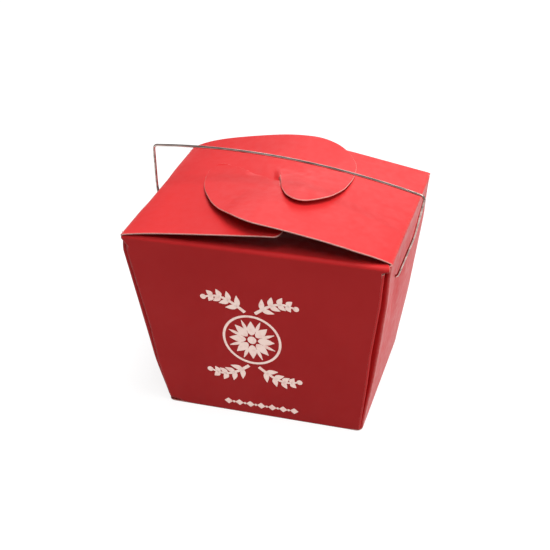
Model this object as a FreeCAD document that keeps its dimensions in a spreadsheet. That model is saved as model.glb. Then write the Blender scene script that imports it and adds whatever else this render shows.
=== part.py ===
import FreeCAD, Part
import math
import os
import Sketcher

# Takeout carton: one folded sheet of coated paperboard with a wire bail.
# Frame: X to the right, -Y to the front (the printed panel), +Z up; the origin is the middle
# of the base, on the surface that the carton stands on. Millimetres.

os.makedirs("parts", exist_ok=True)
doc = FreeCAD.newDocument("takeout_carton")

# Driving dimensions

sizes = doc.addObject("Spreadsheet::Sheet", "Sizes")
DRIVING = (
    ("board", 0.5, "thickness of the paperboard"),
    ("ply_gap", 0.35, "air between the folded plies of a corner web"),
    ("top_width", 98.0, "width over the rim, left to right"),
    ("top_depth", 75.8, "depth over the rim, front to back"),
    ("base_width", 76.6, "width of the base"),
    ("base_depth", 64.3, "depth of the base"),
    ("body_height", 76.7, "height of the rim above the table"),
    ("strip_base", 0.7, "corner web seen beside the front panel, at the base"),
    ("strip_middle", 2.2, "the same at the height of the web's tip"),
    ("strip_top", 1.8, "the same at the rim"),
    ("web_reach", 29.7, "how far a folded web reaches in from its corner"),
    ("web_tip_height", 36.4, "height of the folded web's tip"),
    ("dust_crease", 1.5, "outer radius of the rolled crease of a dust flap"),
    ("dust_length", 30.0, "straight length of a dust flap"),
    ("dust_droop", 8.0, "slope of a dust flap below level, degrees"),
    ("dust_inset", 0.8, "gap between the end of a dust flap and the side panel"),
    ("dust_taper", 7.0, "how much each end of a dust flap is cut back at its free edge"),
    ("hinge_roll", 8.0, "distance from a lid hinge over which the fold's roll dies away"),
    ("right_low_roll", 0.0, "lift of the right lid flap by that roll, at its straight edge"),
    ("right_low_slope", 0.185, "rise of that edge per unit of distance from the hinge"),
    ("right_low_crest", 38.0, "distance from the hinge where that edge levels out"),
    ("right_high_roll", 4.1, "lift of the right lid flap by the roll, at its lobe edge"),
    ("right_high_slope", 0.16, "rise of that edge per unit of distance from the hinge"),
    ("right_high_crest", 47.0, "distance from the hinge where that edge levels out"),
    ("left_low_roll", 1.3, "the same five sizes of the left lid flap's two edges"),
    ("left_low_slope", 0.1, ""),
    ("left_low_crest", 60.0, ""),
    ("left_high_roll", 4.4, ""),
    ("left_high_slope", 0.16, ""),
    ("left_high_crest", 41.0, ""),
    ("crest_round", 3.0, "roundness of the crests"),
    ("lobe_start", 46.0, "distance from the hinge where a lobe leaves its flap"),
    ("lobe_edge", 20.0, "distance of a lobe from its flap's straight edge"),
    ("lobe_run", 7.0, "distance over which a lobe comes down beside the lock"),
    ("lobe_spread", 0.36, "growth of that distance per unit of distance from the lock's side"),
    ("lobe_root", 6.0, "width over which a lobe comes up beside the other flap's edge"),
    ("lobe_clearance", 0.4, "air between a lobe and the flap that it lies on"),
    ("lock_side", 41.5, "distance of the lock from a flap's straight edge"),
    ("right_lock_reach", 51.0, "distance of the lock from the right hinge"),
    ("left_lock_reach", 47.0, "distance of the lock from the left hinge"),
    ("right_edge_run", 45.0, "straight front edge of the right flap"),
    ("right_lobe_reach", 80.6, "tip of the right lobe from the right hinge"),
    ("right_lobe_side", 31.0, "tip of the right lobe from the flap's straight edge"),
    ("left_edge_run", 58.4, "straight back edge of the left flap"),
    ("left_lobe_reach", 73.0, "tip of the left lobe from the left hinge"),
    ("left_lobe_side", 51.0, "tip of the left lobe from the flap's straight edge"),
    ("toe_reach", 61.0, "hidden toe of a flap from its hinge"),
    ("toe_radius", 8.0, "rounded corner of that toe"),
    ("wire_diameter", 1.0, "diameter of the bail's wire"),
    ("wire_clearance", 0.06, "radial play of the wire in its hole"),
    ("wire_bend", 1.5, "centre-line radius of the wire's sharp bends"),
    ("hole_below_rim", 15.4, "wire holes below the rim"),
    ("right_hole_forward", 16.9, "right wire hole in front of the middle"),
    ("left_hole_forward", 1.4, "left wire hole in front of the middle"),
    ("bail_span", 110.5, "length of the bail's crossbar"),
    ("bail_rise", 31.3, "height of the bail's corners above its axis"),
    ("bail_arch", 8.6, "height of the meeting point of the crossbar's slopes above the corners"),
    ("bail_arch_radius", 340.0, "radius of the crossbar's bow"),
    ("bail_lean", 11.5, "backward lean of the resting bail, degrees"),
    ("leg_bow", 1.0, "outward bow of a bail leg at half its height"),
    ("leg_bow_radius", 40.0, "radius of that bow"),
    ("leg_standoff", 1.9, "bottom of a bail leg outside its side panel"),
    ("hook_inset", 2.9, "inner hook of the bail inside its side panel"),
    ("hook_length", 5.5, "length of that hook"),
)
for row, (alias, value, note) in enumerate(DRIVING, start=1):
    sizes.set(f"A{row}", alias)
    sizes.set(f"B{row}", str(value))
    sizes.setAlias(f"B{row}", alias)
    sizes.set(f"C{row}", note)
doc.recompute()


def size(alias):
    """The number that the sheet holds under an alias."""
    return float(sizes.get(alias))


# Lean of the panels, as outward run per unit of height

LEAN_X = "((Sizes.top_width - Sizes.base_width) / 2 / Sizes.body_height)"
LEAN_Y = "((Sizes.top_depth - Sizes.base_depth) / 2 / Sizes.body_height)"
lean_x = (size("top_width") - size("base_width")) / 2 / size("body_height")


def half_width(height):
    """Expression for the outer half width of the carton at a height."""
    return f"(Sizes.base_width / 2 + {LEAN_X} * ({height}))"


def half_depth(height):
    """Expression for the outer half depth of the carton at a height."""
    return f"(Sizes.base_depth / 2 + {LEAN_Y} * ({height}))"


def tapered_plate(name, bottom, top, low, high):
    """A plate whose rectangle (x0, x1, y0, y1) changes evenly from one height to another."""
    plate = doc.addObject("Part::Wedge", name)
    plate.Placement = FreeCAD.Placement(FreeCAD.Vector(), FreeCAD.Rotation(FreeCAD.Vector(1, 0, 0), 90))
    # the wedge's own Y is the height, and its own Z points to the front
    for prop, text in (
        ("Ymin", bottom), ("Xmin", low[0]), ("Xmax", low[1]),
        ("Zmin", f"-({low[3]})"), ("Zmax", f"-({low[2]})"),
        ("Ymax", top), ("X2min", high[0]), ("X2max", high[1]),
        ("Z2min", f"-({high[3]})"), ("Z2max", f"-({high[2]})"),
    ):
        plate.setExpression(prop, text)
    return plate


def fused(name, pieces):
    """One solid of touching pieces."""
    joined = doc.addObject("Part::MultiFuse", name)
    joined.Shapes = pieces
    joined.Refine = True
    return joined


def mirrored(name, source, normal):
    """The mirror image of a piece about a plane through the origin."""
    image = doc.addObject("Part::Mirroring", name)
    image.Source = source
    image.Normal = normal
    return image


X_AXIS = FreeCAD.Vector(1, 0, 0)
Y_AXIS = FreeCAD.Vector(0, 1, 0)
Z_AXIS = FreeCAD.Vector(0, 0, 1)

# Base, panels and the webs of one corner, at the right-hand front

CREASE_LEVEL = "(Sizes.body_height - Sizes.dust_crease)"
PLY_STEP = "(Sizes.board + Sizes.ply_gap)"
# height of the web's sloping cut edge where it passes the fold beside the front panel
CUT_SLOPE = "((Sizes.body_height - Sizes.web_tip_height) / Sizes.web_reach)"
FOLD_TOP = f"(Sizes.body_height - (Sizes.strip_middle + Sizes.board) * {CUT_SLOPE})"
STRIP_AT_FOLD_TOP = (
    f"(Sizes.strip_middle + (Sizes.strip_top - Sizes.strip_middle)"
    f" * ({FOLD_TOP} - Sizes.web_tip_height) / (Sizes.body_height - Sizes.web_tip_height))"
)
STRIP_AT_CREASE = (
    f"(Sizes.strip_middle + (Sizes.strip_top - Sizes.strip_middle)"
    f" * ({CREASE_LEVEL} - Sizes.web_tip_height) / (Sizes.body_height - Sizes.web_tip_height))"
)
LEVELS = {
    "base": ("0", "Sizes.strip_base", "(Sizes.strip_base + 2 * Sizes.board)"),
    "tip": ("Sizes.web_tip_height", "Sizes.strip_middle", "Sizes.web_reach"),
    "fold_top": (FOLD_TOP, STRIP_AT_FOLD_TOP, f"((Sizes.body_height - {FOLD_TOP}) / {CUT_SLOPE})"),
    "crease": (CREASE_LEVEL, STRIP_AT_CREASE, "Sizes.board"),
    "rim": ("Sizes.body_height", "Sizes.strip_top", "Sizes.board"),
}


def level(name):
    """Height, half width, half depth, visible strip and web reach at a named level."""
    height, strip, reach = LEVELS[name]
    return height, half_width(height), half_depth(height), strip, reach


def between(name, low_name, high_name, rectangle):
    """A plate between two levels, with its rectangle worked out for each of them."""
    low, high = level(low_name), level(high_name)
    return tapered_plate(name, low[0], high[0], rectangle(*low[1:]), rectangle(*high[1:]))


def front_rectangle(wide, deep, strip, reach):
    return f"-({wide} - {strip})", f"{wide} - {strip}", f"-{deep}", f"-{deep} + Sizes.board"


def side_rectangle(wide, deep, strip, reach):
    edge = f"({deep} - 2 * {PLY_STEP})"
    return f"{wide} - Sizes.board", wide, f"-{edge}", edge


def outer_ply(wide, deep, strip, reach):
    front = f"-{deep} + {PLY_STEP}"
    return f"{wide} - {reach}", f"{wide} - {strip}", front, f"{front} + Sizes.board"


def inner_ply(wide, deep, strip, reach):
    front = f"-{deep} + 2 * {PLY_STEP}"
    return f"{wide} - {reach}", wide, front, f"{front} + Sizes.board"


def panel_fold(wide, deep, strip, reach):
    back = f"-{deep} + {PLY_STEP} + Sizes.board"
    return f"{wide} - {strip} - Sizes.board", f"{wide} - {strip}", f"-{deep}", back


def ply_fold(wide, deep, strip, reach):
    front = f"-{deep} + {PLY_STEP}"
    back = f"-{deep} + 2 * {PLY_STEP} + Sizes.board"
    return f"{wide} - {reach}", f"{wide} - {reach} + Sizes.board", front, back


base = tapered_plate(
    "base", "0", "Sizes.board",
    ("-Sizes.base_width / 2", "Sizes.base_width / 2", "-Sizes.base_depth / 2", "Sizes.base_depth / 2"),
    (f"-{half_width('Sizes.board')}", half_width("Sizes.board"),
     f"-{half_depth('Sizes.board')}", half_depth("Sizes.board")),
)
front_panel = fused("front_panel", [
    between("front_panel_low", "base", "tip", front_rectangle),
    between("front_panel_high", "tip", "crease", front_rectangle),
])
side_panel = between("right_panel", "base", "rim", side_rectangle)
web = fused("right_front_web", [
    between("outer_ply_low", "base", "tip", outer_ply),
    between("outer_ply_high", "tip", "fold_top", outer_ply),
    between("inner_ply_low", "base", "tip", inner_ply),
    between("inner_ply_high", "tip", "rim", inner_ply),
    between("panel_fold_low", "base", "tip", panel_fold),
    between("panel_fold_high", "tip", "fold_top", panel_fold),
    between("ply_fold_low", "base", "tip", ply_fold),
    between("ply_fold_high", "tip", "fold_top", ply_fold),
])


# Dust flap: rolled over the front panel's top edge and folded in beneath the lid


def origin_plane(body, role):
    """A body's own origin plane."""
    return next(plane for plane in body.Origin.OriginFeatures if plane.Role == role)


def attached_sketch(body, name, role):
    """A sketch on one of its body's origin planes."""
    sketch = body.newObject("Sketcher::SketchObject", name)
    sketch.AttachmentSupport = [(origin_plane(body, role), "")]
    sketch.MapMode = "FlatFace"
    return sketch


def pin_point(sketch, geometry, end, across, up):
    """Holds a sketch point at two coordinates, each an expression."""
    for kind, text in (("DistanceX", across), ("DistanceY", up)):
        number = sketch.addConstraint(
            Sketcher.Constraint(kind, -1, 1, geometry, end, float(sizes.evalExpression(text)))
        )
        sketch.setExpression(f"Constraints[{number}]", text)


def hold_radius(sketch, geometry, text):
    """Holds an arc's radius at an expression."""
    number = sketch.addConstraint(
        Sketcher.Constraint("Radius", geometry, float(sizes.evalExpression(text)))
    )
    sketch.setExpression(f"Constraints[{number}]", text)


def closed_outline(sketch, corners, arcs=()):
    """Lines through corners given as expressions, with an arc of a radius after some of them."""
    places = [
        FreeCAD.Vector(float(sizes.evalExpression(x)), float(sizes.evalExpression(y)), 0) for x, y in corners
    ]
    for index, start in enumerate(places):
        end = places[(index + 1) % len(places)]
        if index in arcs:
            middle, radius = arcs[index]
            on_arc = FreeCAD.Vector(*(float(sizes.evalExpression(text)) for text in middle), 0)
            arc = Part.Arc(start, on_arc, end)
            sketch.addGeometry(arc, False)
        else:
            sketch.addGeometry(Part.LineSegment(start, end), False)
    for index, corner in enumerate(corners):
        following = (index + 1) % len(corners)
        first = ends_of(sketch, index, places[index])
        last = ends_of(sketch, index, places[following])
        next_first = ends_of(sketch, following, places[following])
        sketch.addConstraint(Sketcher.Constraint("Coincident", index, last, following, next_first))
        pin_point(sketch, index, first, *corner)
        if index in arcs:
            hold_radius(sketch, index, arcs[index][1])


def ends_of(sketch, geometry, place):
    """Which end of a line or arc, 1 or 2, lies at a place."""
    start = sketch.getPoint(geometry, 1)
    end = sketch.getPoint(geometry, 2)
    return 1 if (start - place).Length < (end - place).Length else 2


dust_body = doc.addObject("PartDesign::Body", "front_dust_flap")
profile = attached_sketch(dust_body, "dust_flap_section", "YZ_Plane")
CREASE_Y = f"(-{half_depth(CREASE_LEVEL)} + Sizes.dust_crease)"
INNER_CREASE = "(Sizes.dust_crease - Sizes.board)"
SINE = "sin(Sizes.dust_droop * 1deg)"
COSINE = "cos(Sizes.dust_droop * 1deg)"


def on_crease(radius):
    """Where the rolled crease of a radius runs out into the straight flap."""
    return f"{CREASE_Y} + {radius} * {SINE}", f"{CREASE_LEVEL} + {radius} * {COSINE}"


def on_free_edge(radius):
    """The free edge of the flap, on the face that the crease of a radius leads to."""
    across, up = on_crease(radius)
    return f"{across} + Sizes.dust_length * {COSINE}", f"{up} - Sizes.dust_length * {SINE}"


def crease_middle(radius):
    """The crease's point that faces outward and upward at 45 degrees."""
    return f"{CREASE_Y} - {radius} * sqrt(0.5)", f"{CREASE_LEVEL} + {radius} * sqrt(0.5)"


closed_outline(
    profile,
    (
        (f"{CREASE_Y} - Sizes.dust_crease", CREASE_LEVEL),
        on_crease("Sizes.dust_crease"),
        on_free_edge("Sizes.dust_crease"),
        on_free_edge(INNER_CREASE),
        on_crease(INNER_CREASE),
        (f"{CREASE_Y} - {INNER_CREASE}", CREASE_LEVEL),
    ),
    {
        0: (crease_middle("Sizes.dust_crease"), "Sizes.dust_crease"),
        4: (crease_middle(INNER_CREASE), INNER_CREASE),
    },
)
dust_pad = dust_body.newObject("PartDesign::Pad", "dust_flap_sheet")
dust_pad.Profile = profile
dust_pad.Midplane = True
DUST_HALF = f"({half_width(CREASE_LEVEL)} - Sizes.strip_middle - Sizes.dust_inset)"
dust_pad.setExpression("Length", f"2 * {DUST_HALF}")
doc.recompute()

end_cut = attached_sketch(dust_body, "dust_flap_end_cut", "XY_Plane")
CUT_START = f"({CREASE_Y} + Sizes.dust_crease)"
CUT_END = f"({CREASE_Y} + Sizes.dust_length + 2 * Sizes.dust_crease)"
closed_outline(
    end_cut,
    (
        (DUST_HALF, CUT_START),
        (f"{DUST_HALF} + Sizes.dust_taper", CUT_START),
        (f"{DUST_HALF} + Sizes.dust_taper", CUT_END),
        (f"{DUST_HALF} - Sizes.dust_taper", CUT_END),
    ),
)
dust_pocket = dust_body.newObject("PartDesign::Pocket", "dust_flap_end")
dust_pocket.Profile = end_cut
dust_pocket.Reversed = True
dust_pocket.Type = "ThroughAll"
doc.recompute()
other_end = dust_body.newObject("PartDesign::Mirrored", "dust_flap_other_end")
other_end.Originals = [dust_pocket]
other_end.MirrorPlane = (origin_plane(dust_body, "YZ_Plane"), [""])
dust_body.Tip = other_end
doc.recompute()


# Lid flaps: bowed sheets, each higher along its lobe edge than along its straight edge

flap_depth = size("top_depth")
flap_span = size("top_width")
# how evenly the rise changes across a flap: 1 is even, more keeps the straight edge's rise longer
TWIST_POWER = 1.35
SURFACE_COLUMNS = 41
SURFACE_ROWS = 33


def smooth_step(value):
    """0 below 0, 1 above 1, and 3 v^2 - 2 v^3 between."""
    value = min(max(value, 0.0), 1.0)
    return value * value * (3 - 2 * value)


def edge_rise(reach, edge):
    """Rise of a flap's edge: the fold's roll, then an even slope up to a rounded crest."""
    reach = max(reach, 0.0)
    rolled = size(f"{edge}_roll") * (1 - math.exp(-reach / size("hinge_roll")))
    crest, roundness = size(f"{edge}_crest"), size("crest_round")
    levelled = crest - roundness * math.log1p(math.exp((crest - reach) / roundness))
    return rolled + size(f"{edge}_slope") * levelled


def free_rise(reach, side, hand):
    """Rise of a flap by itself, between its two edges."""
    low = edge_rise(reach, f"{hand}_low")
    high = edge_rise(reach, f"{hand}_high")
    return low + (high - low) * min(max(side / flap_depth, 0.0), 1.0) ** TWIST_POWER


def flap_rise(reach, side, hand):
    """Rise of a flap whose lobe comes to lie on the flap opposite."""
    other = "left" if hand == "right" else "right"
    lying = free_rise(flap_span - reach, flap_depth - side, other) + size("board") + size("lobe_clearance")
    beyond_lock = max(side - size("lobe_edge") - size("lobe_root"), 0.0)
    run = size("lobe_run") + size("lobe_spread") * beyond_lock
    share = smooth_step((reach - size("lobe_start")) / run)
    share *= smooth_step((side - size("lobe_edge")) / size("lobe_root"))
    return free_rise(reach, side, hand) * (1 - share) + lying * share


def flap_sheet(hand, reach_end):
    """The bowed sheet over a rectangle from the hinge, as a solid one board thick."""
    grid = []
    for column in range(SURFACE_COLUMNS):
        reach = reach_end * column / (SURFACE_COLUMNS - 1)
        line = []
        for row in range(SURFACE_ROWS):
            side = flap_depth * row / (SURFACE_ROWS - 1)
            line.append(FreeCAD.Vector(reach, side, flap_rise(reach, side, hand)))
        grid.append(line)
    surface = Part.BSplineSurface()
    surface.interpolate(grid)
    return surface.toShape().extrude(FreeCAD.Vector(0, 0, -size("board")))


def flap_outline(points):
    """The cut outline of a flap from (reach, side) points; a triple of points is an arc."""
    edges = []
    here = FreeCAD.Vector(*points[0], 0)
    for step in points[1:]:
        if len(step) == 3:
            middle, end = FreeCAD.Vector(*step[1], 0), FreeCAD.Vector(*step[2], 0)
            edges.append(Part.Arc(here, middle, end).toShape())
        else:
            end = FreeCAD.Vector(*step, 0)
            edges.append(Part.makeLine(here, end))
        here = end
    return Part.Face(Part.Wire(edges))


def cut_flap(hand, points, reach_end, turned):
    """A lid flap: its bowed sheet inside its outline, hinged at the right or at the left."""
    prism = flap_outline(points).extrude(FreeCAD.Vector(0, 0, flap_span))
    prism.translate(FreeCAD.Vector(0, 0, -flap_span / 2))
    flap = flap_sheet(hand, reach_end).common(prism)
    # flap coordinates run from the hinge inwards and from the straight edge to the lobe edge
    if turned:
        flap.rotate(FreeCAD.Vector(), Z_AXIS, 180)
        flap.translate(FreeCAD.Vector(flap_span / 2, flap_depth / 2, size("body_height")))
    else:
        flap.translate(FreeCAD.Vector(-flap_span / 2, -flap_depth / 2, size("body_height")))
    feature = doc.addObject("Part::Feature", f"{hand}_lid_flap")
    feature.Shape = flap
    return feature


def lobe_point(hand, along, across):
    """A point of a lobe's outline, as (reach, side) steps from the lobe's tip."""
    return size(f"{hand}_lobe_reach") + along, size(f"{hand}_lobe_side") + across


def lock_point(hand, along, across):
    """A point beside the lock, as (reach, side) steps from the lock."""
    return size(f"{hand}_lock_reach") + along, size("lock_side") + across


def straight_edge(hand):
    """The hinge line and the straight part of the lobe edge."""
    return ((0.0, 0.0), (0.0, flap_depth), (size(f"{hand}_edge_run"), flap_depth))


def toe(hand):
    """The hidden end edge of a flap, from its lock to the rounded toe and its straight edge."""
    reach, radius = size("toe_reach"), size("toe_radius")
    diagonal = radius * (1 - math.sqrt(0.5))
    return (
        (size(f"{hand}_lock_reach") + size("lobe_clearance"), size("lobe_edge")),
        (reach, radius),
        ("arc", (reach - diagonal, diagonal), (reach - radius, 0.0)),
        (0.0, 0.0),
    )


# the right lobe: a long front edge, a small round tip and an almost straight way back to the lock
RIGHT_OUTLINE = straight_edge("right") + (
    ("arc", lobe_point("right", -15.0, 32.3), lobe_point("right", -0.6, 5.0)),
    ("arc", lobe_point("right", -0.3, -4.5), lobe_point("right", -5.6, -5.8)),
    lock_point("right", 5.0, -7.0),
    ("arc", lock_point("right", 2.3, -6.2), lock_point("right", 0.0, -3.0)),
) + toe("right")
# the left lobe: a round back, side and front that end at the lock
LEFT_OUTLINE = straight_edge("left") + (
    ("arc", lobe_point("left", -4.3, 18.0), lobe_point("left", 0.0, 0.0)),
    ("arc", lobe_point("left", -2.1, -12.5), lobe_point("left", -7.9, -21.9)),
    ("arc", lobe_point("left", -15.4, -24.7), lock_point("left", 4.5, -10.0)),
    lock_point("left", 0.0, 0.0),
) + toe("left")
# each surface runs a little past its lobe's tip
SURFACE_MARGIN = 2.0
right_flap = cut_flap("right", RIGHT_OUTLINE, size("right_lobe_reach") + SURFACE_MARGIN, True)
left_flap = cut_flap("left", LEFT_OUTLINE, size("left_lobe_reach") + SURFACE_MARGIN, False)

# Wire holes, both on the axis that the bail swings about

hole_height = size("body_height") - size("hole_below_rim")
hole_half = size("base_width") / 2 + lean_x * hole_height
right_hole = FreeCAD.Vector(hole_half, -size("right_hole_forward"), hole_height)
left_hole = FreeCAD.Vector(-hole_half, -size("left_hole_forward"), hole_height)
axis_line = right_hole - left_hole
axis_half = axis_line.Length / 2
overrun = 2 * size("leg_standoff")
bore = doc.addObject("Part::Cylinder", "wire_bore")
bore.setExpression("Radius", "Sizes.wire_diameter / 2 + Sizes.wire_clearance")
bore.Height = axis_line.Length + 2 * overrun
bore_start = left_hole - axis_line.normalize() * overrun
bore.Placement = FreeCAD.Placement(bore_start, FreeCAD.Rotation(Z_AXIS, axis_line))

# The whole sheet

half_web = mirrored("left_front_web", web, X_AXIS)
sheet = fused("folded_sheet", [
    base,
    front_panel,
    mirrored("back_panel", front_panel, Y_AXIS),
    side_panel,
    mirrored("left_panel", side_panel, X_AXIS),
    web,
    half_web,
    mirrored("right_back_web", web, Y_AXIS),
    mirrored("left_back_web", half_web, Y_AXIS),
    dust_body,
    mirrored("back_dust_flap", dust_body, Y_AXIS),
    right_flap,
    left_flap,
])
carton = doc.addObject("Part::Cut", "carton")
carton.Base = sheet
carton.Tool = bore

# Wire bail: one bent wire, drawn in its own plane with the swing axis along X

bail = doc.addObject("PartDesign::Body", "wire_handle")
spine = attached_sketch(bail, "bail_centre_line", "XZ_Plane")
half_span, rise = size("bail_span") / 2, size("bail_rise")
leg_foot = axis_half + size("leg_standoff")
hook_place = axis_half - size("hook_inset")
RIGHT_HALF = (
    ((hook_place, size("hook_length")), None),
    ((hook_place, 0.0), "wire_bend"),
    ((leg_foot, 0.0), "wire_bend"),
    (((leg_foot + half_span) / 2 + size("leg_bow"), rise / 2), "leg_bow_radius"),
    ((half_span, rise), "wire_bend"),
)
CREST = (((0.0, rise + size("bail_arch")), "bail_arch_radius"),)
LEFT_HALF = tuple(((-place[0], place[1]), bend) for place, bend in reversed(RIGHT_HALF))


def bent_wire_line(sketch, corners):
    """Straight runs between corners, each corner rounded with its named bend radius."""
    places = [FreeCAD.Vector(*place, 0) for place, bend in corners]
    start = places[0]
    last = None
    for index in range(1, len(places)):
        here = places[index]
        back = (places[index - 1] - here).normalize()
        if index < len(places) - 1:
            ahead = (places[index + 1] - here).normalize()
            half_angle = back.getAngle(ahead) / 2
            radius = size(corners[index][1])
            run_in = radius / math.tan(half_angle)
            entry = here + back * run_in
            leave = here + ahead * run_in
            bisector = (back + ahead).normalize()
            on_bend = here + bisector * (radius / math.sin(half_angle) - radius)
        else:
            entry = here
        line = sketch.addGeometry(Part.LineSegment(start, entry), False)
        for end, place in ((1, start), (2, entry)):
            sketch.addConstraint(Sketcher.Constraint("DistanceX", -1, 1, line, end, place.x))
            sketch.addConstraint(Sketcher.Constraint("DistanceY", -1, 1, line, end, place.y))
        if last is not None:
            join_arc(sketch, last, line)
        if index < len(places) - 1:
            arc = sketch.addGeometry(Part.Arc(entry, on_bend, leave), False)
            join_arc(sketch, arc, line)
            hold_radius(sketch, arc, f"Sizes.{corners[index][1]}")
            last = arc
            start = leave


def join_arc(sketch, arc, line):
    """Joins an arc to the line that it touches."""
    for line_end in (1, 2):
        place = sketch.getPoint(line, line_end)
        for arc_end in (1, 2):
            if (sketch.getPoint(arc, arc_end) - place).Length < 1e-4:
                sketch.addConstraint(Sketcher.Constraint("Coincident", arc, arc_end, line, line_end))


bent_wire_line(spine, RIGHT_HALF + CREST + LEFT_HALF)
section = attached_sketch(bail, "wire_section", "XY_Plane")
section.AttachmentOffset = FreeCAD.Placement(
    FreeCAD.Vector(hook_place, 0, size("hook_length")), FreeCAD.Rotation()
)
round_wire = section.addGeometry(
    Part.Circle(FreeCAD.Vector(), Z_AXIS, size("wire_diameter") / 2), False
)
section.addConstraint(Sketcher.Constraint("Coincident", round_wire, 3, -1, 1))
thickness = section.addConstraint(
    Sketcher.Constraint("Diameter", round_wire, size("wire_diameter"))
)
section.setExpression(f"Constraints[{thickness}]", "Sizes.wire_diameter")
doc.recompute()
sweep = bail.newObject("PartDesign::AdditivePipe", "bent_wire")
sweep.Profile = section
sweep.Spine = (spine, [f"Edge{n + 1}" for n in range(len(spine.Geometry))])
bail.Tip = sweep
lean = math.radians(size("bail_lean"))
backward = Z_AXIS.cross(axis_line).normalize()
upward = Z_AXIS * math.cos(lean) + backward * math.sin(lean)
bail.Placement = FreeCAD.Placement(
    (right_hole + left_hole) * 0.5,
    FreeCAD.Rotation(axis_line, upward.cross(axis_line), upward, "XZY"),
)
doc.recompute()

# Checks and export

for item in doc.Objects:
    if any(word in item.State for word in ("Invalid", "Error")):
        raise RuntimeError(f"{item.Name} failed: {item.State}")
for node, label in ((carton, "carton"), (bail, "wire_handle")):
    node.Label = label
    if node.Shape.isNull() or not node.Shape.isValid():
        raise RuntimeError(f"{label} has no valid shape")
    node.Shape.exportStep(f"parts/{label}.step")
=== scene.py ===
import math

import bpy
import numpy as np
from mathutils import Matrix, Vector


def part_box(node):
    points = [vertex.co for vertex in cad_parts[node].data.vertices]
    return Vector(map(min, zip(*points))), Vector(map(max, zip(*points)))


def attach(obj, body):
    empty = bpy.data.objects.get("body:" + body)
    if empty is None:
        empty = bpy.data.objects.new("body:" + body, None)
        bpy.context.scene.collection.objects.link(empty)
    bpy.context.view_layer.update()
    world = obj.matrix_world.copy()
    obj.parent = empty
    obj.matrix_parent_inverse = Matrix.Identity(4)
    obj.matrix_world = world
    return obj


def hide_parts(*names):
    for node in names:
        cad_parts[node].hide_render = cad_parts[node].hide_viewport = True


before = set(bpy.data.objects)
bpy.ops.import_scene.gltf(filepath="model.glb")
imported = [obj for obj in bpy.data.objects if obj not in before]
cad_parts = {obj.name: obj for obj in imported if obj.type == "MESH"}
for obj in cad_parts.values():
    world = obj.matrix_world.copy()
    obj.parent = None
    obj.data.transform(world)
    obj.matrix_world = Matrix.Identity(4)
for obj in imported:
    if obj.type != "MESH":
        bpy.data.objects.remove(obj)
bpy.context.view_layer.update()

# A closed takeout carton of folded board with a wire bail.
# Shapes are worked out in millimetres and become metres when their mesh is made.
MM = 0.001

# Sizes of the carton, from the frame where the frame has them
carton_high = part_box("carton")[1]
HALF_TOP_WIDTH = carton_high.x / MM
HALF_TOP_DEPTH = carton_high.y / MM
HALF_BASE_WIDTH = 38.3
HALF_BASE_DEPTH = 32.15
RIM = 76.7
BOARD = 0.5
LEAN_X = (HALF_TOP_WIDTH - HALF_BASE_WIDTH) / RIM
LEAN_Y = (HALF_TOP_DEPTH - HALF_BASE_DEPTH) / RIM

# Corner webs: the sheet is folded flat behind the front and back panels at each corner
PLY_STEP, PLY_CLOSING, PLY_OPEN_HEIGHT = 0.85, 0.3, 30.0
STRIP_BASE, STRIP_MIDDLE, STRIP_TOP = 0.7, 2.2, 1.8
WEB_REACH, LEAST_REACH, LEAST_PLY = 29.7, 2.0, 0.05
WEB_TIP = 36.4
CUT_SLOPE = (RIM - WEB_TIP) / WEB_REACH
CORNER_BEND = 0.45
CREVICE_BASE, CREVICE_SHARE, CREVICE_BACK = 0.25, 0.4, 2.5

# Bottom edges: a small roll along the panels, a rounder one at the corners
BOTTOM_ROLL = 0.25
RIGHT_CORNER_ROLL, LEFT_CORNER_ROLL = 0.8, 2.4
CORNER_ROLL_RUN = 6.0

# How far the sides stand out from their planes: everywhere, swell, and the swell's rise and fall
RIGHT_STAND = (0.25, 0.85, 30.0, 58.0, 16.0)
LEFT_STAND = (1.4, 1.8, 22.0, 68.0, 9.0)
# How much less they do so about the wire holes, up and down and to both sides
PINCH, PINCH_HEIGHT, PINCH_RUN = 0.8, 63.5, 12.0
PINCH_HALF, PINCH_FADE = 8.0, 12.0

HOLE_HEIGHT, HOLE_RADIUS = RIM - 15.4, 0.8
RIGHT_HOLE_Y, LEFT_HOLE_Y = -16.9, -1.4

# Dust flaps, with the rolled crease that carries them
ROLL_RADIUS = 1.5
CREASE_LEVEL = RIM - ROLL_RADIUS
DUST_LENGTH = 30.0
DUST_DROOP = math.radians(8.0)
DUST_HALF, DUST_ROOT, DUST_ROOT_RUN = 45.9, 48.1, 7.0
DUST_TAPER = 7.0

# Lid flaps. Low is the straight edge and high the lobe's, each with its fold's roll, slope and
# crest. Tuck is how far the toe goes under the other flap, and lip is 1 where the slit's lip stands
# over it. Lift is the lobe's free edge: height, start, run and power.
RIGHT_FLAP = {
    "low": (0.0, 0.185, 38.0), "high": (4.1, 0.16, 47.0),
    "tuck": 1.0, "lip": 0.0, "lift": (4.0, 28.0, 48.0, 1.7),
}
LEFT_FLAP = {
    "low": (1.3, 0.1, 60.0), "high": (4.4, 0.16, 41.0),
    "tuck": 0.0, "lip": 1.0, "lift": (1.5, 58.0, -30.0, 1.3),
}
HINGE_ROLL = 8.0
CREST_ROUND = 3.0
TWIST_POWER = 1.35
FOLD_ROUND = 0.3
HINGE_LAP = 1.0

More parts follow.
